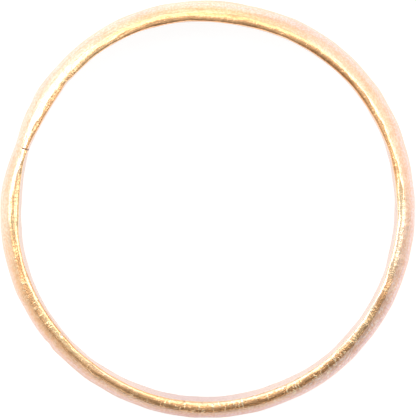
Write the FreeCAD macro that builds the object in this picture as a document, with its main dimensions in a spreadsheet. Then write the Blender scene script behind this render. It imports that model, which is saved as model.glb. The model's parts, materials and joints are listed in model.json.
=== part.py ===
import FreeCAD, Part
import os
import Sketcher

# A plain gold finger ring, worn and once made larger.
#
# The band is a strip of D-section: flat on the finger, domed outside, with two narrow edge faces.
# It is a long hoop with a short sizing piece let in, butted end to end and closed with two films of
# solder. Both joints were filed down outside, the upper one deeply, so the outline dips to a V there.
# The solder of the upper joint has parted on the finger side and leaves a hairline crack.
#
# Millimetres. +Z is the ring's axis, and the ring lies on its lower edge face at Z = 0.
# Every piece is drawn with the upper joint on its own X axis, the sizing piece following it
# anticlockwise, and is then turned into place by its Placement.

ORIGIN = FreeCAD.Vector(0, 0, 0)
RING_AXIS = FreeCAD.Vector(0, 0, 1)
SKETCH_UP = FreeCAD.Vector(0, 1, 0)
SKETCH_NORMAL = FreeCAD.Vector(0, 0, 1)
FULL_TURN = 360
NECK_SWEEP_SHARE = 4

DRIVING_SIZES = [
    ("bore_radius", 9.0, "finger hole"),
    ("band_width", 3.0, "along the finger"),
    ("edge_thickness", 0.42, "bore to the ridge, where the edge face ends"),
    ("dome_rise", 0.48, "ridge to the crest of the dome"),
    ("bore_edge_round", 0.1, "worn rounding between bore and edge face"),
    ("ridge_round", 0.13, "worn rounding between edge face and dome"),
    ("upper_joint_angle", 161.5, "degrees from +X, anticlockwise"),
    ("sizing_piece_angle", 58.5, "degrees from the upper joint to the lower one"),
    ("solder_thickness", 0.06, "film between the strip ends, at the bore"),
    ("upper_neck_depth", 0.25, "filed off the crest at the upper joint"),
    ("upper_neck_reach", 16.0, "degrees each side of the upper joint"),
    ("lower_neck_depth", 0.04, "filed off the crest at the lower joint"),
    ("lower_neck_reach", 1.8, "degrees each side of the lower joint"),
    ("neck_ridge_share", 0.32, "of a neck's depth, filed off the ridge"),
    ("crack_share", 0.48, "of the edge thickness, parted at the upper joint"),
    ("crack_mouth_width", 0.16, "worn opening of the crack at the bore"),
    ("crack_mouth_depth", 0.1, "radial depth of that opening"),
    ("nick_width", 0.16, "nick in the bore edge at the lower joint"),
    ("nick_depth", 0.15, "radial depth of the nick"),
    ("nick_height", 0.13, "how far the nick goes down from the upper edge face"),
    ("cut_overrun", 0.5, "how far every cut runs past the metal"),
]

doc = FreeCAD.newDocument("finger_ring")
sheet = doc.addObject("Spreadsheet::Sheet", "Sizes")
for row, (alias, value, meaning) in enumerate(DRIVING_SIZES, start=1):
    sheet.set(f"A{row}", alias)
    sheet.set(f"B{row}", str(value))
    sheet.set(f"C{row}", meaning)
    sheet.setAlias(f"B{row}", alias)
doc.recompute()

# What more than one feature uses, as expressions on the sheet. Angles are counted from the upper
# joint. A neck is how deep and how far a joint was filed: the strip ends and the solder share it.

BORE = "Sizes.bore_radius"
WIDTH = "Sizes.band_width"
OVERRUN = "Sizes.cut_overrun"
RIDGE = "(Sizes.bore_radius + Sizes.edge_thickness)"
RISE = "Sizes.dome_rise"
CRACK_END = "(Sizes.bore_radius + Sizes.edge_thickness * Sizes.crack_share)"
UPPER_JOINT = "0"
LOWER_JOINT = "Sizes.sizing_piece_angle"
HALF_FILM = "asin(Sizes.solder_thickness / 2 / Sizes.bore_radius) / 1 deg"
UPPER_NECK = ("Sizes.upper_neck_depth", "Sizes.upper_neck_reach")
LOWER_NECK = ("Sizes.lower_neck_depth", "Sizes.lower_neck_reach")

# Places in a sketch's constraints: its own axis and origin, and the ends of a line or an arc

SKETCH_X_AXIS = -1
SKETCH_ORIGIN = (-1, 1)
START = 1
END = 2

# On which side of a joint a piece lies, going round anticlockwise

AFTER_JOINT = 1
BEFORE_JOINT = -1


def value_of(expression):
    """The present value of an expression, for the first outline of a sketch."""
    return float(sheet.evalExpression(expression.replace("Sizes.", "")))


def filed_ridge(depth):
    """Radius of the ridge where a joint was filed to a depth."""
    return f"({RIDGE} - {depth} * Sizes.neck_ridge_share)"


def filed_rise(depth):
    """What is left there of the dome's rise."""
    return f"({RISE} - {depth} * (1 - Sizes.neck_ridge_share))"


# Bodies and sketches


def new_body(name):
    """A piece drawn with the upper joint on its X axis, turned to its place in the ring."""
    body = doc.addObject("PartDesign::Body", name)
    body.Label = name
    body.Placement = FreeCAD.Placement(ORIGIN, FreeCAD.Rotation(RING_AXIS, sheet.upper_joint_angle))
    body.setExpression("Placement.Rotation.Angle", "Sizes.upper_joint_angle")
    return body


def new_sketch(body, name, role, turn_axis):
    """An empty sketch on an origin plane of the body, ready to be turned about the ring's axis."""
    sketch = body.newObject("Sketcher::SketchObject", name)
    planes = body.Origin.OriginFeatures
    sketch.AttachmentSupport = (next(plane for plane in planes if plane.Role == role), "")
    sketch.MapMode = "FlatFace"
    sketch.AttachmentOffset = FreeCAD.Placement(ORIGIN, FreeCAD.Rotation(turn_axis, 1))
    return sketch


def upright_sketch(body, name, angle, outwards="0", onwards="0"):
    """A sketch in the plane of the ring's axis and a ray at the angle. Its own axis may stand off
    the ring's: outwards along that ray, and onwards anticlockwise round the ring."""
    sketch = new_sketch(body, name, "XZ_Plane", SKETCH_UP)
    along_x = f"({outwards}) * cos({angle}) - ({onwards}) * sin({angle})"
    along_y = f"({outwards}) * sin({angle}) + ({onwards}) * cos({angle})"
    sketch.setExpression("AttachmentOffset.Rotation.Angle", angle)
    sketch.setExpression("AttachmentOffset.Base.x", along_x)
    sketch.setExpression("AttachmentOffset.Base.z", f"-({along_y})")
    return sketch


def upper_face_sketch(body, name, angle):
    """A sketch on the level of the upper edge face, its X axis along a ray at the angle."""
    sketch = new_sketch(body, name, "XY_Plane", SKETCH_NORMAL)
    sketch.setExpression("AttachmentOffset.Rotation.Angle", angle)
    sketch.setExpression("AttachmentOffset.Base.z", WIDTH)
    return sketch


def bind(sketch, kind, places, expression):
    """Adds a dimension to a sketch and ties it to the sheet."""
    index = sketch.addConstraint(Sketcher.Constraint(kind, *places, value_of(expression)))
    sketch.setExpression(f"Constraints[{index}]", expression)


def draw_chain(sketch, points):
    """Straight lines from point to point, joined end to start."""
    ends = zip(points, points[1:])
    lines = [sketch.addGeometry(Part.LineSegment(start, end)) for start, end in ends]
    for line, following in zip(lines, lines[1:]):
        sketch.addConstraint(Sketcher.Constraint("Coincident", line, END, following, START))
    return lines


def draw_dome(sketch, ridge, rise):
    """The domed outside: an arc over the width of the band, its ends on the two ridges."""
    ridge_now = value_of(ridge)
    width_now = value_of(WIDTH)
    low = FreeCAD.Vector(ridge_now, 0, 0)
    crest = FreeCAD.Vector(ridge_now + value_of(rise), width_now / 2, 0)
    high = FreeCAD.Vector(ridge_now, width_now, 0)
    dome = sketch.addGeometry(Part.Arc(low, crest, high))
    sketch.addConstraint(Sketcher.Constraint("PointOnObject", dome, START, SKETCH_X_AXIS))
    sketch.addConstraint(Sketcher.Constraint("Vertical", dome, START, dome, END))
    bind(sketch, "DistanceX", (*SKETCH_ORIGIN, dome, START), ridge)
    bind(sketch, "DistanceY", (dome, START, dome, END), WIDTH)
    bind(sketch, "Radius", (dome,), f"({rise} ^ 2 + ({WIDTH} / 2) ^ 2) / 2 / {rise}")
    return dome, low, high


def close_on_dome(sketch, dome, lines):
    """Joins a chain of lines to the lower and the upper end of a dome."""
    sketch.addConstraint(Sketcher.Constraint("Coincident", dome, START, lines[0], START))
    sketch.addConstraint(Sketcher.Constraint("Coincident", lines[-1], END, dome, END))


def draw_section(sketch, inner, ridge, rise):
    """The D-section: lower edge face, flat on the finger, upper edge face, and the dome."""
    dome, low, high = draw_dome(sketch, ridge, rise)
    low_inner = FreeCAD.Vector(value_of(inner), low.y, 0)
    high_inner = FreeCAD.Vector(value_of(inner), high.y, 0)
    lines = draw_chain(sketch, [low, low_inner, high_inner, high])
    close_on_dome(sketch, dome, lines)
    for line, direction in zip(lines, ["Horizontal", "Vertical", "Horizontal"]):
        sketch.addConstraint(Sketcher.Constraint(direction, line))
    bind(sketch, "DistanceX", (*SKETCH_ORIGIN, lines[1], START), inner)


def draw_outside_of_dome(sketch, ridge, rise):
    """All that a file takes off to leave a dome standing."""
    dome, low, high = draw_dome(sketch, ridge, rise)
    overrun_now = value_of(OVERRUN)
    below = low.y - overrun_now
    above = high.y + overrun_now
    outside = low.x + value_of(rise) + overrun_now
    corners = [(low.x, below), (outside, below), (outside, above), (high.x, above)]
    lines = draw_chain(sketch, [low, *(FreeCAD.Vector(x, y, 0) for x, y in corners), high])
    close_on_dome(sketch, dome, lines)
    directions = ["Vertical", "Horizontal", "Vertical", "Horizontal", "Vertical"]
    for line, direction in zip(lines, directions):
        sketch.addConstraint(Sketcher.Constraint(direction, line))
    side = lines[2]
    bind(sketch, "DistanceX", (*SKETCH_ORIGIN, side, START), f"{ridge} + {rise} + {OVERRUN}")
    bind(sketch, "DistanceY", (side, START, *SKETCH_ORIGIN), OVERRUN)
    bind(sketch, "DistanceY", (*SKETCH_ORIGIN, side, END), f"{WIDTH} + {OVERRUN}")


def draw_mouth(sketch, width, depth):
    """A triangle that is as wide as given at the bore, with its point in the metal."""
    point = f"{BORE} + {depth}"
    base = f"{BORE} - {OVERRUN}"
    base_width = f"{width} * ({depth} + {OVERRUN}) / {depth}"
    tip = FreeCAD.Vector(value_of(point), 0, 0)
    left = FreeCAD.Vector(value_of(base), value_of(base_width) / 2, 0)
    right = FreeCAD.Vector(value_of(base), -value_of(base_width) / 2, 0)
    first, across, last = draw_chain(sketch, [tip, left, right, tip])
    sketch.addConstraint(Sketcher.Constraint("Coincident", last, END, first, START))
    sketch.addConstraint(Sketcher.Constraint("PointOnObject", first, START, SKETCH_X_AXIS))
    sketch.addConstraint(
        Sketcher.Constraint("Symmetric", across, START, across, END, SKETCH_X_AXIS)
    )
    bind(sketch, "DistanceX", (*SKETCH_ORIGIN, first, START), point)
    bind(sketch, "DistanceX", (*SKETCH_ORIGIN, across, START), base)
    bind(sketch, "DistanceY", (across, END, across, START), base_width)


# Features


def bend_strip(body, inner, ridge, rise, first, last):
    """The D-section swept round the ring's axis from the first angle to the last."""
    sketch = upright_sketch(body, f"{body.Name}_section", first)
    draw_section(sketch, inner, ridge, rise)
    strip = body.newObject("PartDesign::Revolution", f"{body.Name}_strip")
    strip.Profile = sketch
    strip.ReferenceAxis = (sketch, ["V_Axis"])
    strip.setExpression("Angle", f"({last}) - ({first})")
    doc.recompute()


def round_edges(body, name, edge_radius, rounding_radius):
    """Rounds the two long edges that run round the ring at a radius."""
    before = body.Tip
    edges = before.Shape.Edges
    names = [
        f"Edge{number}"
        for number, edge in enumerate(edges, start=1)
        if isinstance(edge.Curve, Part.Circle)
        and abs(edge.Curve.Radius - value_of(edge_radius)) < edge.Tolerance
    ]
    rounding = body.newObject("PartDesign::Fillet", f"{body.Name}_{name}")
    rounding.Base = (before, names)
    rounding.setExpression("Radius", rounding_radius)
    doc.recompute()


def file_towards_joint(body, name, joint, neck, side):
    """Files a strip end so that its dome runs in to the joint on a round of its own. The round has
    the band's radius. Its axis stands back from the joint by the neck's depth, and along the piece
    so far that the round meets the band's own crest at the neck's reach."""
    depth, reach = neck
    onwards = f"{side} * {depth} / tan({reach})"
    sketch = upright_sketch(body, f"{body.Name}_{name}_outline", joint, f"-{depth}", onwards)
    draw_outside_of_dome(sketch, f"({filed_ridge(depth)} + {depth})", filed_rise(depth))
    filing = body.newObject("PartDesign::Groove", f"{body.Name}_{name}")
    filing.Profile = sketch
    filing.ReferenceAxis = (sketch, ["V_Axis"])
    filing.Midplane = True
    filing.setExpression("Angle", f"{NECK_SWEEP_SHARE} * {reach}")
    doc.recompute()


def open_crack_mouth(body):
    """The worn mouth of the crack, along the whole width of the bore."""
    sketch = upper_face_sketch(body, f"{body.Name}_crack_mouth_outline", UPPER_JOINT)
    draw_mouth(sketch, "Sizes.crack_mouth_width", "Sizes.crack_mouth_depth")
    mouth = body.newObject("PartDesign::Pocket", f"{body.Name}_crack_mouth")
    mouth.Profile = sketch
    mouth.Type = "ThroughAll"
    doc.recompute()


def nick_bore_edge(body):
    """The nick in the upper edge of the bore, over the lower joint."""
    sketch = upper_face_sketch(body, f"{body.Name}_nick_outline", LOWER_JOINT)
    draw_mouth(sketch, "Sizes.nick_width", "Sizes.nick_depth")
    nick = body.newObject("PartDesign::Pocket", f"{body.Name}_nick")
    nick.Profile = sketch
    nick.setExpression("Length", "Sizes.nick_height")
    doc.recompute()


# Pieces


def make_hoop():
    """The long stretch, from the lower joint round the right of the ring to the upper joint."""
    body = new_body("hoop")
    bend_strip(body, BORE, RIDGE, RISE, f"{LOWER_JOINT} + {HALF_FILM}", f"{FULL_TURN} - {HALF_FILM}")
    round_edges(body, "bore_edges", BORE, "Sizes.bore_edge_round")
    round_edges(body, "ridges", RIDGE, "Sizes.ridge_round")
    file_towards_joint(body, "upper_neck", UPPER_JOINT, UPPER_NECK, BEFORE_JOINT)
    file_towards_joint(body, "lower_neck", LOWER_JOINT, LOWER_NECK, AFTER_JOINT)
    open_crack_mouth(body)
    nick_bore_edge(body)
    return body


def make_sizing_piece():
    """The short stretch let in between the joints to make the ring larger."""
    body = new_body("sizing_piece")
    bend_strip(body, BORE, RIDGE, RISE, HALF_FILM, f"{LOWER_JOINT} - {HALF_FILM}")
    round_edges(body, "bore_edges", BORE, "Sizes.bore_edge_round")
    round_edges(body, "ridges", RIDGE, "Sizes.ridge_round")
    file_towards_joint(body, "upper_neck", UPPER_JOINT, UPPER_NECK, AFTER_JOINT)
    file_towards_joint(body, "lower_neck", LOWER_JOINT, LOWER_NECK, BEFORE_JOINT)
    open_crack_mouth(body)
    nick_bore_edge(body)
    return body


def make_solder_film(name, inner, joint, neck):
    """A film of solder that fills a joint from the inner radius out to the filed dome."""
    body = new_body(name)
    depth, reach = neck
    first = f"{joint} - {HALF_FILM}"
    last = f"{joint} + {HALF_FILM}"
    bend_strip(body, inner, filed_ridge(depth), filed_rise(depth), first, last)
    return body


def make_upper_solder():
    """The film that still holds the upper joint, outside the crack."""
    return make_solder_film("seam_solder_upper", CRACK_END, UPPER_JOINT, UPPER_NECK)


def make_lower_solder():
    """The film of the lower joint, through the whole section, with its share of the nick."""
    body = make_solder_film("seam_solder_lower", BORE, LOWER_JOINT, LOWER_NECK)
    round_edges(body, "bore_edges", BORE, "Sizes.bore_edge_round")
    nick_bore_edge(body)
    return body


# Checks and files


def check_document():
    """Stops on a failed object, on a broken shape, and on a cut or rounding that took nothing."""
    for item in doc.Objects:
        if {"Invalid", "Error"} & set(item.State):
            raise RuntimeError(f"{item.Name} failed: {item.getStatusString()}")
        if item.isDerivedFrom("PartDesign::Feature") and item.BaseFeature:
            if item.Shape.Volume >= item.BaseFeature.Shape.Volume:
                raise RuntimeError(f"{item.Name} takes nothing away")


def check_pieces(bodies):
    """Stops if a piece is not one sound solid, or if two pieces share metal."""
    for index, body in enumerate(bodies):
        if body.Shape.isNull() or not body.Shape.isValid() or len(body.Shape.Solids) != 1:
            raise RuntimeError(f"{body.Label} is not one sound solid")
        for other in bodies[index + 1 :]:
            shared = body.Shape.common(other.Shape).Volume
            if shared > body.Shape.Volume * body.Shape.getTolerance(1):
                raise RuntimeError(f"{body.Label} and {other.Label} overlap")


def write_pieces(bodies):
    """Writes each piece to a file of its own name."""
    os.makedirs("parts", exist_ok=True)
    for body in bodies:
        body.Shape.exportStep(f"parts/{body.Label}.step")
        print(body.Label, "volume", round(body.Shape.Volume, 3))


pieces = [make_hoop(), make_sizing_piece(), make_upper_solder(), make_lower_solder()]
doc.recompute()
check_document()
check_pieces(pieces)
write_pieces(pieces)
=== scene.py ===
import json
import math

import bpy
import numpy as np
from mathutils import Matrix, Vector


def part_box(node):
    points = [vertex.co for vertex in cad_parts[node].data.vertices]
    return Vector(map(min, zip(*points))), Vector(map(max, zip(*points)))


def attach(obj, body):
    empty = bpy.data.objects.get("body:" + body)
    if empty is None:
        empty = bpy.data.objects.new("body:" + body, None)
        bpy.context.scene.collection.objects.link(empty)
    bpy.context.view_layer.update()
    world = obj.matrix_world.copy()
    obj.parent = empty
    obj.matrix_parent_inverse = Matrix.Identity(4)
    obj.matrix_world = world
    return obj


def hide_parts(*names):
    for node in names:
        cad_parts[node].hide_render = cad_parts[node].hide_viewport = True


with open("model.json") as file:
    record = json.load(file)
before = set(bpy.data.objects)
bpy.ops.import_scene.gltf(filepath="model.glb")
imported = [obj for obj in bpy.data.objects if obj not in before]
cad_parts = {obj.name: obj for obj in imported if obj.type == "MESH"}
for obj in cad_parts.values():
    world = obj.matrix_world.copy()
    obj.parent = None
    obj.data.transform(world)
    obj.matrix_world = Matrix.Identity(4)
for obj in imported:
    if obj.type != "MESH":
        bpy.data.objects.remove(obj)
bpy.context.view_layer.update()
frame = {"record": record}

# A plain worn gold band lies flat on a white floor and is seen almost straight down its axis.
# Lengths here are millimetres until a mesh is made, and angles are degrees anticlockwise
# from +X, so the upper joint at 161.5 is on the left of the picture.

MM = 0.001
FULL_TURN = 360.0

# Sizes that the frame gives

mounts = {mount["name"]: mount for mount in frame["record"]["mounts"]}
BORE_RADIUS = mounts["finger_bore"]["dims"]["r_mm"]
hoop_low, hoop_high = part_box("hoop")
CREST_RADIUS = hoop_high.x / MM
BAND_WIDTH = (hoop_high.z - hoop_low.z) / MM
HALF_WIDTH = BAND_WIDTH / 2

# The worn section: a crowned edge face between the bore and the dome

EDGE_WIDTH = 0.41
BORE_TILT = 48.0
RIDGE_TILT = 37.0
BORE_ROUND = 0.16
DOME_POWER = 4.2
STEEP_DOME_POWER = 3.4
RIDGE_DROP = 0.04
WALL_POINTS = 10
ROUND_POINTS = 6
CROWN_POINTS = 36
DOME_POINTS = 26
DOME_SPACING = 0.8

# The joints

UPPER_JOINT = 161.5
LOWER_JOINT = 220.3
FILM_HALF = 0.19
CRACK_SHARE = 0.55
NECK_DEPTH = 0.25
NECK_REACH = 16.5
NECK_FADE = 4
NECK_SLOPE = 0.88
NECK_RIDGE_SHARE = 0.32
LOWER_NECK_DEPTH = 0.04
LOWER_NECK_REACH = 1.8

# The band's own irregular shape. In every list of rows like these a row is an amount, the
# angle of its middle and its half width. Some places are shared by more than one edge: a
# swell, a pressed flat, a dent, a worn stretch and a full one. Amounts are millimetres here.

SWELL, PRESSED, DENT, WORN, FULL = (116, 25), (9, 30), (76, 21), (248, 80), (303, 38)
OVAL_DEPTH = 0.038
OVAL_ANGLE = 58
BORE_SHAPE = [(0.08, *SWELL), (-0.03, *PRESSED), (-0.10, *DENT), (0.075, *WORN),
              (-0.04, 33, 16), (-0.035, 47, 34), (-0.07, 56, 20), (-0.035, 80, 18),
              (-0.03, 90, 12), (-0.06, 97, 80), (0.02, 127, 14), (0.03, 138.2, 3.2),
              (-0.09, 150, 14), (-0.07, 177, 15), (0.015, 202, 16), (-0.06, 225, 40),
              (0.03, 303, 20), (-0.03, 347, 10)]
LOWER_BORE_SHAPE = [(0.05, 38, 28), (0.12, 134, 42), (0.10, 224, 34), (0.05, 308, 20),
                    (0.05, 330, 25)]
RIDGE_SHAPE = [(0.07, *SWELL), (-0.04, *PRESSED), (-0.08, *DENT), (0.03, *WORN), (0.025, *FULL),
               (-0.095, 42, 58), (-0.05, 45, 60), (0.02, 45, 15), (0.03, 76, 14),
               (-0.07, 77, 20), (-0.04, 92, 14), (0.08, 136, 14), (-0.045, 166, 10),
               (0.035, 190, 9), (-0.04, 193, 14), (-0.05, 233, 30), (0.05, 270, 7),
               (0.035, 278, 40), (-0.035, 346, 12)]
CREST_SHAPE = [(0.065, *SWELL), (-0.055, *PRESSED), (-0.06, *DENT), (-0.015, *WORN), (0.05, *FULL),
               (-0.01, 150, 9), (-0.05, 181, 9), (0.03, 268, 16)]
CREST_SPREAD = 1.7

# How far the edge face leans: 1 is mostly bevelled outwards, below 0 it is bevelled inwards

PLAIN_LEAN = 0.2
EDGE_LEAN = [(-0.25, 14, 22), (0.5, 22, 11), (-0.1, 44, 9), (-0.2, 48, 32), (0.12, 60, 11),
             (0.35, 66, 9), (-0.25, 75, 14), (0.45, 100, 90), (0.18, 115, 10), (0.15, 118, 16),
             (0.45, 145, 18), (0.4, 145, 42), (0.25, 158, 5), (0.8, 163.6, 2.6), (0.2, 167, 7),
             (0.32, 190, 7), (-0.2, 201, 8), (0.7, 228, 55), (0.5, 286, 13), (0.35, 288, 28),
             (0.95, 322, 34), (0.05, 327, 15), (0.1, 342, 10), (0.6, 353, 25)]
CALM = (0.8, 142, 34)

# Where the dome stays steep right up to the ridge, and below 0 where it flattens early

STEEP_DOME = [(-0.6, 0, 14), (0.5, 187, 20), (1.0, 232, 28), (-0.25, 263, 16), (0.7, 288, 20)]

# Random wandering: rows of an amount, a number of steps round the band and a seed

RIDGE_WANDER = [(0.012, 150, 3), (0.01, 420, 4)]
LEAN_WANDER = [(0.14, 110, 5), (0.1, 300, 6)]

# Hand work: waves of 0.9 mm and longer, at a slant to the band

WAVES = np.random.default_rng(7).uniform(0, 1, (26, 5))
SHORTEST_WAVE = 0.9
WAVE_SPREAD = 3.2
WAVE_SLANT = 1.6
WAVE_HEIGHT = 0.0022

# Small marks: depths in millimetres, places and half widths in degrees or shares of the face

SCRATCH_ANGLE, SCRATCH_CURVE, SCRATCH_HALF, SCRATCH_DEPTH = 136.0, 1.4, 0.22, 0.012
MOUTH_HALF, MOUTH_DEPTH = 0.4, 0.02
GROOVE_PLACE, GROOVE_DRIFT, GROOVE_LENGTH = 0.045, 0.0172, 50
GROOVE_HALF, GROOVE_DEPTH = 0.22, 0.009
NICK_BEFORE, NICK_AFTER, NICK_DEPTH = 0.3, 0.9, 0.07
MARKED_ROUNDS = 2.2

# The grid of the skins

OUTWARDS = -1
COLUMN_STEP = 0.4
FINE_STEP = 0.06
FINE_SPANS = [(133.5, 138.5), (160.0, 163.0), (218.8, 221.8)]


def smooth_step(low, high, x):
    """0 below low, 1 above high and a smooth rise between. With low above high it falls."""
    share = np.clip((x - low) / (high - low), 0, 1)
    return share * share * (3 - 2 * share)


def near(middle, far, close, x):
    """1 within the close distance of the middle and 0 beyond the far one."""
    return smooth_step(far, close, np.abs(x - middle))


def angle_from(centre, angles):
    """The signed turn in degrees from a centre angle to other angles."""
    return (np.asarray(angles) - centre + 180) % FULL_TURN - 180


def bump(angles, centre, half_width):
    """A smooth rise to 1 at the centre angle, 0 beyond the half width."""
    turn = np.clip(np.abs(angle_from(centre, angles)) / half_width, 0, 1)
    return 0.5 + 0.5 * np.cos(np.pi * turn)


def bumps(angles, rows):
    """The sum of a list of bumps, each row an amount, a centre angle and a half width."""
    return sum(amount * bump(angles, centre, half_width) for amount, centre, half_width in rows)


def highest_bump(angles, rows):
    """The highest of a list of bumps at each angle."""
    return np.maximum.reduce([bumps(angles, [row]) for row in rows])


def wander(angles, steps, seed):
    """A seeded random line between -1 and 1 round the band, in the given number of steps."""
    values = np.random.default_rng(seed).uniform(-1, 1, steps)
    station = np.asarray(angles) % FULL_TURN / FULL_TURN * steps
    index = np.floor(station).astype(int) % steps
    share = smooth_step(0, 1, station - np.floor(station))
    return values[index] * (1 - share) + values[(index + 1) % steps] * share


def wanders(angles, rows):
    """The sum of a list of random lines, each row an amount, a number of steps and a seed."""
    return sum(amount * wander(angles, steps, seed) for amount, steps, seed in rows)


# The section

def arc(centre, radius, first_tilt, last_tilt, count):
    """Points on a rounding whose normal leans from one tilt to the other, without the last.
    A tilt is measured from straight up, and leans outwards when it is positive."""
    tilts = np.radians(np.linspace(first_tilt, last_tilt, count, endpoint=False))
    return [(centre[0] + radius * math.sin(t), centre[1] + radius * math.cos(t)) for t in tilts]


def crown(lean):
    """The edge face from bore to ridge, as radius and height over the mid-plane.
    Its tilt grows from the bore to the ridge; a lean of 1 has most of it bevelled outwards."""
    shares = np.linspace(0, 1, CROWN_POINTS)
    tilts = np.radians((BORE_TILT + RIDGE_TILT) * shares ** (2.0 ** (-1.3 * lean)) - BORE_TILT)
    radii = BORE_RADIUS + BORE_ROUND * (1 - math.sin(math.radians(BORE_TILT))) + EDGE_WIDTH * shares
    slopes = -np.tan(tilts)
    steps = np.diff(radii) * (slopes[1:] + slopes[:-1]) / 2
    heights = np.concatenate([[0], np.cumsum(steps)])
    return list(zip(radii, heights - heights.max() + HALF_WIDTH))


def upper_half_section(lean):
    """The section's upper half from the middle of the bore wall to the crest of the dome."""
    face = crown(lean)
    ridge = face[-1]
    corner = (BORE_RADIUS + BORE_ROUND, face[0][1] - BORE_ROUND * math.cos(math.radians(BORE_TILT)))
    wall = [(BORE_RADIUS, corner[1] * share) for share in np.linspace(0, 1, WALL_POINTS, endpoint=False)]
    rounding = arc(corner, BORE_ROUND, -90, -BORE_TILT, ROUND_POINTS)
    rise = CREST_RADIUS - ridge[0]
    shares = np.linspace(1, 0, DOME_POINTS) ** DOME_SPACING
    dome = [(CREST_RADIUS - rise * share ** DOME_POWER, ridge[1] * share) for share in shares]
    return wall + rounding + face[:-1] + dome


def whole_section(lean):
    """The closed section as an array of radius and height, up the bore and down the dome."""
    upper = upper_half_section(lean)
    lower = [(r, -z) for r, z in reversed(upper[1:-1])]
    return np.array(upper + lower)


# The band's own irregular shape, with what wear, the file and the hammer did to it

def out_of_round(angles):
    """How far the band stands out from a true circle: at the upper edge of the bore,
    at its lower edge, at the ridge between edge face and dome, and at the crest."""
    oval = OVAL_DEPTH * np.cos(np.radians(2 * angle_from(OVAL_ANGLE, angles)))
    bore = oval + bumps(angles, BORE_SHAPE)
    below = bore + bumps(angles, LOWER_BORE_SHAPE)
    ridge = oval + bumps(angles, RIDGE_SHAPE) + wanders(angles, RIDGE_WANDER)
    crest = oval + bumps(angles, CREST_SHAPE)
    return bore, below, ridge, crest


def neck(angles):
    """How deep the file went at the crest on each side of the joints."""
    turn = np.radians(np.abs(angle_from(UPPER_JOINT, angles)))
    depth = NECK_DEPTH * np.cos(turn) - NECK_SLOPE * np.sin(turn)
    reach = smooth_step(NECK_REACH, NECK_REACH - NECK_FADE, np.degrees(turn))
    return np.maximum(depth, 0) * reach + LOWER_NECK_DEPTH * bump(angles, LOWER_JOINT, LOWER_NECK_REACH)


def lean_of(angles):
    """Where the edge face was rubbed to slope outwards, and where inwards."""
    unsteady = 1 - bumps(angles, [CALM])
    return PLAIN_LEAN + bumps(angles, EDGE_LEAN) + unsteady * wanders(angles, LEAN_WANDER)


def unevenness(along, r, z):
    """Gentle facets of hand work, in millimetres, from waves of about one to four millimetres."""
    height = np.zeros(np.broadcast(along, r).shape)
    for length, turn, phase, weight, lean in WAVES:
        wave = 2 * math.pi / (SHORTEST_WAVE + WAVE_SPREAD * length)
        heading = (turn - 0.5) * WAVE_SLANT
        sideways = r * math.cos(2 * math.pi * lean) + z * math.sin(2 * math.pi * lean)
        run = along * math.cos(heading) + 2.5 * sideways * math.sin(heading)
        height += (0.4 + weight) * np.sin(wave * run + 9 * phase)
    return WAVE_HEIGHT * height


def marks(angles, face):
    """Depth in millimetres of the small marks. The face runs from 0 at the bore to 1 at the
    ridge: a curved scratch, the mouth of the crack, a groove beside the bore and the nick at
    the lower joint."""
    on_face = smooth_step(-0.2, 0.1, face) * smooth_step(1.3, 1.0, face)
    scratch_at = SCRATCH_ANGLE - SCRATCH_CURVE * (1 - face) ** 2
    scratch = bump(angles, scratch_at, SCRATCH_HALF) * smooth_step(0.85, 0.5, face)
    mouth = bump(angles, UPPER_JOINT, MOUTH_HALF) * smooth_step(0.55, 0.0, face)
    groove_at = GROOVE_PLACE + GROOVE_DRIFT * np.clip(angles - UPPER_JOINT, 0, GROOVE_LENGTH)
    groove = (np.clip(1 - np.abs(face - groove_at) / GROOVE_HALF, 0, 1) ** 2
              * smooth_step(162.5, 165, angles) * smooth_step(212, 196, angles))
    from_joint = angle_from(LOWER_JOINT, angles)
    beside = np.where(from_joint < 0, -from_joint / NICK_BEFORE, from_joint / NICK_AFTER)
    nick = np.clip(1 - beside, 0, 1) * smooth_step(0.42, 0.0, face)
    shallow = SCRATCH_DEPTH * scratch + MOUTH_DEPTH * mouth + GROOVE_DEPTH * groove
    return on_face * shallow + NICK_DEPTH * nick * smooth_step(-1.5, -0.4, face)


def shaped_columns(angles):
    """Radius and height of every point, one row for each angle."""
    lean = lean_of(angles)[:, None, None]
    plain, outward, inward = (whole_section(tilt)[None] for tilt in (0, 1, -1))
    sections = plain + np.maximum(lean, 0) * (outward - plain) + np.maximum(-lean, 0) * (inward - plain)
    r, z = sections[:, :, 0], sections[:, :, 1]
    share = (r - BORE_RADIUS) / (CREST_RADIUS - BORE_RADIUS)
    bore, below, ridge, crest = (edge[:, None] for edge in out_of_round(angles))
    inner = bore + (below - bore) * smooth_step(0.2, -0.9, z)
    ridge_share = EDGE_WIDTH / (CREST_RADIUS - BORE_RADIUS)
    within = np.clip(share / ridge_share, 0, 1)
    beyond = np.clip((share - ridge_share) / (1 - ridge_share), 0, 1)
    filed = neck(angles)[:, None] * (NECK_RIDGE_SHARE * within + (1 - NECK_RIDGE_SHARE) * beyond)
    r = r + inner + (ridge - inner) * within + (crest - ridge) * beyond ** CREST_SPREAD - filed
    up = np.clip(np.abs(z) / (HALF_WIDTH - RIDGE_DROP), 0, 1)
    steeper = bumps(angles, STEEP_DOME)[:, None] * (up ** STEEP_DOME_POWER - up ** DOME_POWER)
    return r - steeper * (CREST_RADIUS - BORE_RADIUS - EDGE_WIDTH) * (beyond > 0), z


def column_angles(first, last):
    """Angles of the columns from first to last, closer together where the marks are fine."""
    angles = [first]
    while angles[-1] < last:
        place = angles[-1] % FULL_TURN
        fine = any(low <= place < high for low, high in FINE_SPANS)
        angles.append(angles[-1] + (FINE_STEP if fine else COLUMN_STEP))
    angles[-1] = last
    return np.array(angles)


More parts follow.
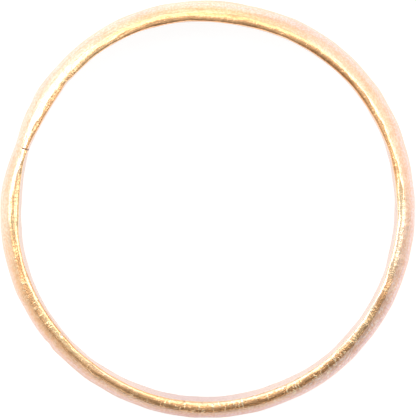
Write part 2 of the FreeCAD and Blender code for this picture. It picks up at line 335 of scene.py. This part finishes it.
def build_skin(name, angles, inner_limit=0.0):
    """A closed tube of the section swept over the angles, with flat ends.
    Below the inner limit, a radius, the section is cut away."""
    r, z = shaped_columns(angles)
    turn = np.radians(angles)[:, None]
    outline = whole_section(0)
    along = np.broadcast_to(turn * BORE_RADIUS, r.shape)
    place = np.stack([along, r, z], 2)
    r_ahead = np.roll(r, -1, 1) - np.roll(r, 1, 1)
    z_ahead = np.roll(z, -1, 1) - np.roll(z, 1, 1)
    length = np.hypot(r_ahead, z_ahead)
    under_edge = np.clip(HALF_WIDTH - BORE_ROUND * MARKED_ROUNDS - outline[:, 1], 0, 1)
    face = (outline[:, 0] - BORE_RADIUS) / EDGE_WIDTH - 3 * under_edge
    lift = unevenness(along, r, z) - marks(np.broadcast_to(angles[:, None], r.shape), face[None])
    r = r + lift * z_ahead / length * OUTWARDS
    z = z - lift * r_ahead / length * OUTWARDS
    z = np.clip(z + HALF_WIDTH, 0, BAND_WIDTH)
    kept = np.nonzero(r[0] >= inner_limit)[0] if inner_limit else np.arange(r.shape[1])
    r, z, place, outline = r[:, kept], z[:, kept], place[:, kept], outline[kept]
    points = np.stack([r * np.cos(turn), r * np.sin(turn), z], 2).reshape(-1, 3) * MM
    index = np.arange(r.size).reshape(r.shape)
    a, b = index[:-1], index[1:]
    quads = np.stack([a, np.roll(a, -1, 1), np.roll(b, -1, 1), b], 2).reshape(-1, 4)
    faces = [tuple(q) for q in quads] + [tuple(index[0][::-1]), tuple(index[-1])]
    mesh = bpy.data.meshes.new(name)
    mesh.from_pydata([tuple(p) for p in points], [], faces)
    smooth = np.ones(len(mesh.polygons), bool)
    smooth[-2:] = False
    mesh.polygons.foreach_set("use_smooth", smooth)
    add_attributes(mesh, wear_shares(outline, angles), place)
    piece = bpy.data.objects.new(name, mesh)
    bpy.context.scene.collection.objects.link(piece)
    return piece


# Where the wear, the painted light and shade and the colours are

def wear_shares(outline, angles):
    """The share of each kind of wear and of painted light and shade, a row for each angle and a column for
    each point of the section. Heights are over the mid-plane; across runs from 0 at the bore to 1 at the
    ridge."""
    turn = angles[:, None]
    height = np.abs(outline[:, 1])
    across = (outline[:, 0] - BORE_RADIUS) / EDGE_WIDTH

    # The three zones of the section; from 185 to 345 degrees the edge face is a little wider
    limit = 0.95 + 0.3 * bump(turn, 265, 80)
    wall = (smooth_step(0.05, 0.03, outline[:, 0] - BORE_RADIUS)
            * smooth_step(HALF_WIDTH - 0.1, HALF_WIDTH - 0.5, height))
    edge = (smooth_step(limit + 0.15, limit - 0.15, across)
            * smooth_step(HALF_WIDTH - 0.5, HALF_WIDTH - 0.3, height))

    # Painted highlight: cream on the outer side, inner side and middle of the edge face, and on the nick,
    # where the highlights are to look whiter
    outer = (bumps(turn, [(0.35, 152, 36), (0.5, 166, 6)]) * smooth_step(0.2, 0.6, across)
             + 0.22 * bump(turn, 30, 48) * smooth_step(0.62, 0.85, across))
    inner = (bumps(turn, [(0.2, 200, 20), (0.65, 328, 44), (0.35, 282, 36)])
             * smooth_step(0.48, 0.18, across))
    middle = 0.5 * bump(turn, 352, 20)
    nick = near(0, 0.8, 0.5, angle_from(LOWER_JOINT + 0.3, turn)) * smooth_step(0.45, 0.1, across)
    painted_highlight = (np.maximum(np.maximum(outer, inner), np.maximum(middle, nick))
             + 0.25 * bump(turn, 238, 18) * near(0.3, 0.28, 0.1, across))

    # Painted light on the edge face: a brighter, paler gold where its highlights are to look brighter or
    # wider
    glow = (bumps(turn, [(0.4, 0, 12), (0.5, 126, 20), (0.7, 167, 7), (0.7, 179, 12)])
            * smooth_step(0.55, 0.2, across)
            + bumps(turn, [(0.7, 3, 11), (0.5, 184, 7)]) * smooth_step(1.1, 0.8, across)
            + 0.8 * bump(turn, 219, 22) * near(0.5, 0.26, 0.1, across)
            + bumps(turn, [(0.5, 323, 10), (0.4, 344, 7)]) * near(0.6, 0.45, 0.2, across))
    # Painted shade on the edge face: a darker gold, broken into strokes, where it is to look darker
    painted_shade = (bumps(turn, [(0.1, 104, 18), (0.3, 198, 20)])
            * smooth_step(0.2, 0.45, across) * smooth_step(0.95, 0.75, across)
            + 0.6 * bump(turn, 47, 26) * smooth_step(0.6, 0.3, across)
            + 0.5 * bump(turn, 82, 28) * near(0.9, 0.35, 0.12, across)
            + 0.45 * bump(turn, 298, 40) * near(1.0, 0.4, 0.1, across)
            + 0.6 * bump(turn, 331, 8) * near(0.42, 0.2, 0.05, across))

    # Small cross scratches at the ridge, painted bright as glints, and pits
    sparks = (highest_bump(turn, [(1.0, 204, 18), (0.7, 245, 30), (1.0, 298, 50), (0.6, 345, 25)])
              * near(1.1, 0.6, 0.2, across) * smooth_step(1.0, 1.2, height))
    pitted = 0.15 + 0.85 * highest_bump(turn, [(0.35, 143, 24), (0.5, 207, 17), (1.0, 295, 60)])

    # Grey tarnish with painted shade on the dome, mostly on the near side; painted cream sheen on the lit far
    # side; and painted shade, deeper yellow, beside the ridge
    tarnish_and_shade = (bumps(turn, [(0.1, 40, 45), (0.75, 318, 60)])
               * smooth_step(HALF_WIDTH + 0.6, HALF_WIDTH - 0.5, height)
               + bumps(turn, [(0.3, 214, 26), (0.3, 236, 30), (0.75, 275, 28)])
               * smooth_step(1.5, 0.8, height)
               + 0.6 * bump(turn, 263, 16) * smooth_step(1.48, 1.25, height) * smooth_step(0.95, 1.2, height)
               + 0.45 * bump(turn, 72, 16) * smooth_step(1.0, 1.35, height))
    # Painted sheen: cream streaks on the lit far side of the dome
    pale = (highest_bump(turn, [(1.0, 90, 32), (0.8, 124, 34), (0.6, 150, 32), (0.6, 180, 20)])
            + 0.25 * bump(turn, 38, 30))
    # Painted shade: a darker, deeper yellow dome beside the ridge
    deep = (bumps(turn, [(0.95, 76, 22), (0.4, 90, 14), (0.7, 104, 28)]) * smooth_step(1.18, 1.38, height)
            + bumps(turn, [(0.4, 35, 32), (0.3, 222, 34)]) * smooth_step(1.0, 1.25, height)
            + 0.4 * bump(turn, 212, 30) * smooth_step(1.28, 1.45, height))

    return {
        "edge": edge,
        "bore": wall,
        "crest": smooth_step(1.1, 0.5, height) * (1 - wall),
        "shoulder": smooth_step(1.38, 1.0, height),
        "pitted": pitted,
        "sparks": sparks,
        "tarnish_and_shade": tarnish_and_shade,
        # Grey tarnish with painted shade on the bore wall's near side
        "wall_tarnish_and_shade": 0.8 * bump(turn, 266, 24) * wall,
        # Painted shade: a darker edge tint for the dome's reflections round the near side
        "rim": bump(turn, 258, 58) * (1 - wall) * smooth_step(1.38, 1.2, height),
        "painted_highlight": painted_highlight,
        "warm": bump(turn, 195, 48) * smooth_step(0.6, 1.2, height),
        "painted_shade": painted_shade,
        "glow": glow,
        # Where the dome's grain has painted glints
        "granular": bump(turn, 318, 55) * smooth_step(0.2, 0.5, height) * (1 - edge) * (1 - wall),
        # Painted shade: a dark orange line at the bore's top edge
        "lip": 0.9 * bump(turn, 214, 27) * smooth_step(HALF_WIDTH - 0.9, HALF_WIDTH - 0.4, outline[:, 1])
               * smooth_step(0.22, 0.06, across),
        "pale": pale,
        "satin": bump(turn, 238, 22) * smooth_step(0.85, 0.65, across) * edge,
        "deep": deep,
    }


def add_attributes(mesh, shares, place):
    """What the materials read: the share of each kind of wear and of painted light and shade, and the place
    along the band, in radius and in height, in millimetres."""
    for name, share in shares.items():
        values = np.broadcast_to(share, place.shape[:2]).reshape(-1).astype(np.float32)
        mesh.attributes.new(name, "FLOAT", "POINT").data.foreach_set("value", values)
    layer = mesh.attributes.new("place", "FLOAT_VECTOR", "POINT")
    layer.data.foreach_set("vector", place.reshape(-1).astype(np.float32))


# Materials

class Nodes:
    """Short names for building a node tree."""

    def __init__(self, tree):
        self.tree = tree
        tree.nodes.clear()

    def add(self, kind, inputs=(), **settings):
        node = self.tree.nodes.new(kind)
        for key, value in settings.items():
            setattr(node, key, value)
        for key, value in dict(inputs).items():
            self.set(node.inputs[key], value)
        return node

    def set(self, socket, value):
        if isinstance(value, bpy.types.NodeSocket):
            self.tree.links.new(value, socket)
        else:
            socket.default_value = value

    def math(self, operation, a, b=0.0, clamp=False):
        return self.add("ShaderNodeMath", {0: a, 1: b}, operation=operation, use_clamp=clamp).outputs[0]

    def plus(self, a, b, clamp=False):
        return self.math("ADD", a, b, clamp)

    def times(self, a, b, clamp=False):
        return self.math("MULTIPLY", a, b, clamp)

    def mix(self, share, a, b, blend="MIX"):
        node = self.add("ShaderNodeMix", data_type="RGBA", blend_type=blend)
        self.set(node.inputs[0], share)
        self.set(node.inputs[6], a)
        self.set(node.inputs[7], b)
        return node.outputs[2]

    def ramp(self, value, low, high, to_low=0.0, to_high=1.0):
        inputs = {"Value": value, "From Min": low, "From Max": high, "To Min": to_low, "To Max": to_high}
        return self.add("ShaderNodeMapRange", inputs, interpolation_type="SMOOTHSTEP").outputs[0]

    def vector_math(self, operation, a, b, output="Vector"):
        return self.add("ShaderNodeVectorMath", {0: a, 1: b}, operation=operation).outputs[output]

    def attribute(self, name, output="Fac"):
        return self.add("ShaderNodeAttribute", attribute_name=name).outputs[output]

    def stretched(self, vector, scale, turn=0.0):
        inputs = {"Vector": vector, "Scale": scale, "Rotation": (0, 0, math.radians(turn))}
        return self.add("ShaderNodeMapping", inputs).outputs[0]

    def noise(self, vector, scale, detail=2.0, roughness=0.5):
        inputs = {"Vector": vector, "Scale": scale, "Detail": detail, "Roughness": roughness}
        return self.add("ShaderNodeTexNoise", inputs).outputs["Fac"]


# Colours of the gold

EDGE_GOLD = (1.0, 0.57, 0.28, 1)
# The dark gold of the pits, and of the painted shade on the edge face
EDGE_DARK = (0.62, 0.28, 0.10, 1)
RIDGE_GOLD = (1.0, 0.74, 0.57, 1)
SHOULDER_GOLD = (1.0, 0.81, 0.79, 1)
# The cream of the painted highlights on the edge face
PAINTED_HIGHLIGHT_CREAM = (1.0, 0.92, 0.78, 1)
# The cream of the painted sheen streaks on the dome
PAINTED_SHEEN_CREAM = (1.0, 0.95, 0.80, 1)
# The darker yellow of the painted shade on the dome beside the ridge
PAINTED_SHADE_GOLD = (1.0, 0.84, 0.62, 1)
WARM = (1.0, 0.98, 0.84, 1)
# The pale gold of the scratches painted bright as glints
HATCH_GLINT_GOLD = (1.0, 0.84, 0.56, 1)
# The grey of the tarnish and of the painted shade on the dome and bore wall
TARNISH_AND_SHADE = (0.78, 0.69, 0.78, 1)
GRAIN_DARK = (0.97, 0.84, 0.72, 1)
# The pale specks of the painted glints in the dome's grain
GRAIN_GLINT = (1.0, 0.90, 0.84, 1)
# The brighter gold of the painted light on the edge face
PAINTED_LIGHT_GOLD = (1.0, 0.74, 0.42, 1)
CREST_GOLD = (0.97, 0.60, 0.31, 1)
BORE_GOLD = (0.82, 0.60, 0.50, 1)
# The grey edge tint of the painted shade on the dome's near side
PAINTED_SHADE_TINT = (0.6, 0.55, 0.56, 1)
# The dark orange of the painted shade at the bore's top edge
LIP_PAINTED_SHADE = (0.76, 0.38, 0.18, 1)
WHITE = (1, 1, 1, 1)

# Patterns of the gold, per millimetre: one scale, or three along the band, in radius and in
# height, with the slant in degrees of the ones that lie across

STREAK_SCALES = (0.6, 9.0, 9.0)
STROKE_SCALES, STROKE_SLANT = (2.0, 12.0, 12.0), 6
HATCH_SCALES, HATCH_SLANT = (9.0, 3.0, 3.0), 25
PATCH_SCALE = 0.7
SPECK_SCALE = 8.0
GRAIN_SCALE = 9.0
FINE_GRAIN_SCALE = 11.0

# How rough the gold is, and how deep its relief in metres

DOME_ROUGHNESS = (0.38, 0.52)
EDGE_ROUGHNESS = (0.1, 0.17)
POLISH = -0.14
SATIN = 0.1
RELIEF_STRENGTH = 0.8
RELIEF_DEPTH = 0.00003


def gold_patterns(n, place, wear):
    """Noise patterns of the metal: streaks along the dome, grain, specks, strokes on the edge
    face, hatches across the ridge, and the pits together with the painted shade in strokes."""
    streaks = n.noise(n.stretched(place, STREAK_SCALES), 1.0, 4.0, 0.6)
    strokes = n.noise(n.stretched(place, STROKE_SCALES, STROKE_SLANT), 1.0, 3.0, 0.6)
    specks = n.noise(place, SPECK_SCALE)
    hatches = n.ramp(n.noise(n.stretched(place, HATCH_SCALES, HATCH_SLANT), 1.0), 0.56, 0.66)
    hatched = n.math("MAXIMUM", n.times(wear["edge"], wear["pitted"]), wear["sparks"])
    # Painted shade on the edge face, broken into strokes, joins the dark pits
    painted_shade_strokes = n.times(wear["painted_shade"], n.ramp(strokes, 0.3, 0.6, 0.6, 1.2), clamp=True)
    pits_and_painted_shade = n.math("MAXIMUM", n.times(n.ramp(specks, 0.57, 0.66), wear["pitted"]), painted_shade_strokes)
    return {
        "streaks": streaks,
        "strokes": strokes,
        "specks": specks,
        "hatches": n.times(hatches, hatched),
        "pits_and_painted_shade": pits_and_painted_shade,
        "patches": n.noise(place, PATCH_SCALE),
        "grain": n.noise(place, GRAIN_SCALE, 3.0, 0.65),
        "fine_grain": n.noise(place, FINE_GRAIN_SCALE, 2.0, 0.6),
    }


def dome_colour(n, wear, pattern):
    """From rosy at the shoulder to yellow at the ridge, with grey tarnish and painted shade, painted cream
    sheen streaks, painted shade beside the ridge, grain, painted glints and hatches painted bright.
    """
    streaks = pattern["streaks"]
    shoulder_share = n.plus(wear["shoulder"], n.ramp(streaks, 0.3, 0.7, -0.25, 0.25), clamp=True)
    colour = n.mix(shoulder_share, RIDGE_GOLD, SHOULDER_GOLD)
    # Grey tarnish with painted shade, broken up by the grain
    tarnish_and_shade = n.times(wear["tarnish_and_shade"], n.ramp(pattern["grain"], 0.35, 0.55, 0.3, 1.0))
    colour = n.mix(tarnish_and_shade, colour, TARNISH_AND_SHADE, "MULTIPLY")
    colour = n.mix(wear["warm"], colour, WARM, "MULTIPLY")
    # Painted sheen: cream streaks on the lit far side
    colour = n.mix(n.times(wear["pale"], n.ramp(streaks, 0.32, 0.52)), colour, PAINTED_SHEEN_CREAM)
    # Painted shade beside the ridge
    colour = n.mix(wear["deep"], colour, PAINTED_SHADE_GOLD, "MULTIPLY")
    colour = n.mix(n.ramp(pattern["fine_grain"], 0.42, 0.56), colour, GRAIN_DARK, "MULTIPLY")
    # Painted glints: pale specks in the grain of the dome's near side
    sparkle = n.times(n.ramp(pattern["specks"], 0.55, 0.63), wear["granular"])
    colour = n.mix(n.times(sparkle, 0.7), colour, GRAIN_GLINT)
    crest_colour = n.mix(n.ramp(streaks, 0.35, 0.65), CREST_GOLD, RIDGE_GOLD)
    colour = n.mix(wear["crest"], colour, crest_colour)
    # Scratches painted bright as glints
    return n.mix(n.times(pattern["hatches"], 0.65), colour, HATCH_GLINT_GOLD)


def edge_colour(n, wear, pattern):
    """Deep yellow with dark pits and painted shade, pale hatches painted bright as glints, painted light in
    warm patches and painted highlights in pale streaks.
    """
    # Dark pits and painted shade
    colour = n.mix(pattern["pits_and_painted_shade"], EDGE_GOLD, EDGE_DARK)
    # Scratches painted bright as glints
    colour = n.mix(n.times(pattern["hatches"], 0.9), colour, HATCH_GLINT_GOLD)
    # Painted light: a brighter gold
    colour = n.mix(wear["glow"], colour, PAINTED_LIGHT_GOLD)
    # Painted highlight: cream where the highlights are to look whiter
    return n.mix(wear["painted_highlight"], colour, PAINTED_HIGHLIGHT_CREAM)


def gold_roughness(n, wear, pattern, off_edge):
    """A satin dome, a bright edge face, and bore and crest polished by wear."""
    dome = n.ramp(pattern["streaks"], 0.3, 0.7, *DOME_ROUGHNESS)
    edge = n.ramp(pattern["patches"], 0.3, 0.7, *EDGE_ROUGHNESS)
    roughness = n.plus(n.times(dome, off_edge), n.times(edge, wear["edge"]))
    roughness = n.plus(roughness, n.times(n.math("MAXIMUM", wear["bore"], wear["crest"]), POLISH))
    return n.plus(roughness, n.times(wear["satin"], SATIN))


def gold_relief(n, wear, pattern, off_edge):
    """Fine relief of grain, of the pits with the painted-shade strokes, of streaks and of strokes; under the
    painted highlight there are no strokes.
    """
    grain = n.times(pattern["grain"], n.plus(0.4, n.times(wear["pitted"], 0.8)))
    pits_and_painted_shade = n.times(pattern["pits_and_painted_shade"], -0.5)
    streaks = n.times(pattern["streaks"], n.times(off_edge, 0.9))
    strokes = n.times(pattern["strokes"], n.times(wear["edge"], 0.8))
    strokes = n.plus(strokes, n.times(pattern["hatches"], 0.8))
    # No strokes under the painted highlight
    strokes = n.times(strokes, n.math("SUBTRACT", 1.0, wear["painted_highlight"]))
    height = n.plus(n.plus(grain, pits_and_painted_shade), n.plus(streaks, strokes))
    inputs = {"Strength": RELIEF_STRENGTH, "Distance": RELIEF_DEPTH, "Height": height}
    return n.add("ShaderNodeBump", inputs).outputs[0]


WEAR_NAMES = ("edge", "bore", "crest", "shoulder", "pitted", "sparks", "tarnish_and_shade", "wall_tarnish_and_shade", "rim",
              "painted_highlight", "warm", "painted_shade", "glow", "granular", "lip", "pale", "satin", "deep")


def gold(name, shift):
    """Worn yellow gold: a satin dome, a rubbed edge bright from its polish and from painted highlights, and a
    pale bore. The shift, in millimetres along the band, gives each piece its own pattern."""
    material = bpy.data.materials.new(name)
    material.use_nodes = True
    n = Nodes(material.node_tree)
    wear = {key: n.attribute(key) for key in WEAR_NAMES}
    place = n.vector_math("ADD", n.attribute("place", "Vector"), (shift, 0, 0))
    off_edge = n.math("SUBTRACT", 1.0, wear["edge"])
    pattern = gold_patterns(n, place, wear)

    colour = n.mix(wear["edge"], dome_colour(n, wear, pattern), edge_colour(n, wear, pattern))
    colour = n.mix(wear["bore"], colour, BORE_GOLD)
    # Grey tarnish with painted shade on the bore wall
    colour = n.mix(wear["wall_tarnish_and_shade"], colour, TARNISH_AND_SHADE, "MULTIPLY")
    # Painted shade at the bore's top edge
    colour = n.mix(wear["lip"], colour, LIP_PAINTED_SHADE)
    inputs = {"Metallic": 1.0, "Base Color": colour,
              "Roughness": gold_roughness(n, wear, pattern, off_edge),
              "Normal": gold_relief(n, wear, pattern, off_edge),
              # Painted shade in the edge tint round the near side
              "Specular Tint": n.mix(wear["rim"], WHITE, PAINTED_SHADE_TINT)}
    shader = n.add("ShaderNodeBsdfPrincipled", inputs)
    n.add("ShaderNodeOutputMaterial", {"Surface": shader.outputs[0]})
    return material


# The pieces: the crack stays open inside the crack radius

def finish_piece(piece, node, material):
    piece.data.materials.append(material)
    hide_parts(node)
    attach(piece, "root")


CRACK_RADIUS = BORE_RADIUS + EDGE_WIDTH * CRACK_SHARE
UPPER_FILM_COLUMNS = 5
LOWER_FILM_COLUMNS = 7

upper_start, upper_end = UPPER_JOINT - FILM_HALF, UPPER_JOINT + FILM_HALF
lower_start, lower_end = LOWER_JOINT - FILM_HALF, LOWER_JOINT + FILM_HALF
hoop = build_skin("hoop_skin", column_angles(lower_end, UPPER_JOINT + FULL_TURN - FILM_HALF))
sizing = build_skin("sizing_piece_skin", column_angles(upper_end, lower_start))
upper_film = build_skin("seam_solder_upper_skin", np.linspace(upper_start, upper_end, UPPER_FILM_COLUMNS),
                        CRACK_RADIUS)
lower_film = build_skin("seam_solder_lower_skin", np.linspace(lower_start, lower_end, LOWER_FILM_COLUMNS))

finish_piece(hoop, "hoop", gold("worn_gold_hoop", 0.0))
finish_piece(sizing, "sizing_piece", gold("worn_gold_sizing", 31.0))
solder = gold("gold_solder_seam", 57.0)
finish_piece(upper_film, "seam_solder_upper", solder)
finish_piece(lower_film, "seam_solder_lower", solder)


# The floor: a white disc well beyond the picture, in metres. Seen directly or in the gold it
# glows evenly white; for other light it is a grey that keeps the band's shadow.

FLOOR_RADIUS = 1.6
FLOOR_STEP = 5.0
FLOOR_DROP = 0.00001
FLOOR_GREY = (0.2, 0.2, 0.2, 1)
FLOOR_GLOW = 0.88


def make_floor():
    turns = np.radians(np.arange(0, FULL_TURN, FLOOR_STEP))
    rim = [(FLOOR_RADIUS * math.cos(a), FLOOR_RADIUS * math.sin(a), 0.0) for a in turns]
    mesh = bpy.data.meshes.new("floor")
    mesh.from_pydata(rim, [], [tuple(range(len(rim)))])
    floor = bpy.data.objects.new("floor", mesh)
    bpy.context.scene.collection.objects.link(floor)
    floor.location.z = -FLOOR_DROP
    material = bpy.data.materials.new("white_floor")
    material.use_nodes = True
    n = Nodes(material.node_tree)
    path = n.add("ShaderNodeLightPath").outputs
    seen = n.plus(path["Is Camera Ray"], path["Is Glossy Ray"])
    seen = n.plus(seen, path["Is Transmission Ray"], clamp=True)
    diffuse = n.add("ShaderNodeBsdfDiffuse", {"Color": FLOOR_GREY})
    glow = n.add("ShaderNodeEmission", {"Color": WHITE, "Strength": n.times(seen, FLOOR_GLOW)})
    both = n.add("ShaderNodeAddShader", {0: diffuse.outputs[0], 1: glow.outputs[0]})
    n.add("ShaderNodeOutputMaterial", {"Surface": both.outputs[0]})
    mesh.materials.append(material)


make_floor()


# The light: a bright half of the room on the far side, a dim half on the near side,
# a dim patch straight overhead where a camera hangs and a dim band along the horizon.
# Heights are the sine of the elevation. A bright patch is an azimuth, an elevation, the
# cosines where it starts and is full, and a strength.

FAR_AZIMUTH = 100.0
NEAR_LEVEL, FAR_LEVEL = 0.25, 1.4
LOW_LEVEL = 0.55
HORIZON = 0.45
OVERHEAD = 0.6
STRIP_HEIGHT = 0.78
STRIP_STRENGTH = 1.3
BRIGHT_PATCHES = [(159, 50, 0.935, 0.985, 2.6), (13, 47, 0.93, 0.985, 2.0)]


def direction(azimuth, elevation=0.0):
    a, e = math.radians(azimuth), math.radians(elevation)
    return Vector((math.cos(a) * math.cos(e), math.sin(a) * math.cos(e), math.sin(e)))


def make_world():
    world = bpy.data.worlds.new("studio")
    bpy.context.scene.world = world
    world.use_nodes = True
    n = Nodes(world.node_tree)
    ray = n.add("ShaderNodeTexCoord").outputs["Generated"]
    far = n.vector_math("DOT_PRODUCT", ray, direction(FAR_AZIMUTH), "Value")
    height = n.add("ShaderNodeSeparateXYZ", {"Vector": ray}).outputs["Z"]
    level = n.times(n.ramp(far, -0.95, 0.5, NEAR_LEVEL, FAR_LEVEL), n.ramp(height, 0.05, 0.6, LOW_LEVEL, 1.0))
    level = n.times(level, n.ramp(height, 0.0, 0.2, HORIZON, 1.0))
    level = n.times(level, n.ramp(height, 0.95, 0.99, 1.0, OVERHEAD))
    strip = n.ramp(n.math("ABSOLUTE", n.math("SUBTRACT", height, STRIP_HEIGHT)), 0.14, 0.02)
    level = n.plus(level, n.times(strip, n.ramp(far, -0.1, 0.2, 0.0, STRIP_STRENGTH)))
    for azimuth, elevation, start, full, strength in BRIGHT_PATCHES:
        towards = n.vector_math("DOT_PRODUCT", ray, direction(azimuth, elevation), "Value")
        level = n.plus(level, n.ramp(towards, start, full, 0.0, strength))
    back = n.add("ShaderNodeBackground", {"Color": WHITE, "Strength": level})
    n.add("ShaderNodeOutputWorld", {"Surface": back.outputs[0]})


make_world()

# The key: a small soft disc on the far side; size and distance in metres

KEY_SIZE = 0.3
KEY_ENERGY = 0.12
KEY_AZIMUTH, KEY_ELEVATION = 120, 55
KEY_DISTANCE = 0.6


def make_key():
    lamp = bpy.data.lights.new("soft_key", "AREA")
    lamp.shape = "DISK"
    lamp.size = KEY_SIZE
    lamp.energy = KEY_ENERGY
    key = bpy.data.objects.new("soft_key", lamp)
    bpy.context.scene.collection.objects.link(key)
    key.location = direction(KEY_AZIMUTH, KEY_ELEVATION) * KEY_DISTANCE
    key.rotation_euler = (-key.location).to_track_quat("-Z", "Y").to_euler()


make_key()

# The camera stands a little towards +Y of the axis and looks down at the middle of the band.
# Its lens makes the band's outline as large in the picture as it is in the photo.

CAMERA_DISTANCE = 0.18
CAMERA_OFFSET = 0.007
AIM_X, AIM_Y = 0.000017, -0.000006
SENSOR = 36.0
IMAGE_LONG_SIDE = 418
OUTLINE_RADIUS_PX = 208.06

camera_data = bpy.data.cameras.new("camera")
camera_data.sensor_width = SENSOR
camera_data.sensor_fit = "AUTO"
camera_data.lens = SENSOR * OUTLINE_RADIUS_PX * CAMERA_DISTANCE / (CREST_RADIUS * MM) / IMAGE_LONG_SIDE
camera = bpy.data.objects.new("camera", camera_data)
bpy.context.scene.collection.objects.link(camera)
aim = Vector((AIM_X, AIM_Y, HALF_WIDTH * MM))
camera.location = aim + Vector((0, CAMERA_OFFSET, CAMERA_DISTANCE))
camera.rotation_euler = (-math.atan(CAMERA_OFFSET / CAMERA_DISTANCE), 0, 0)
bpy.context.scene.camera = camera

bpy.context.scene.view_settings.view_transform = "Standard"
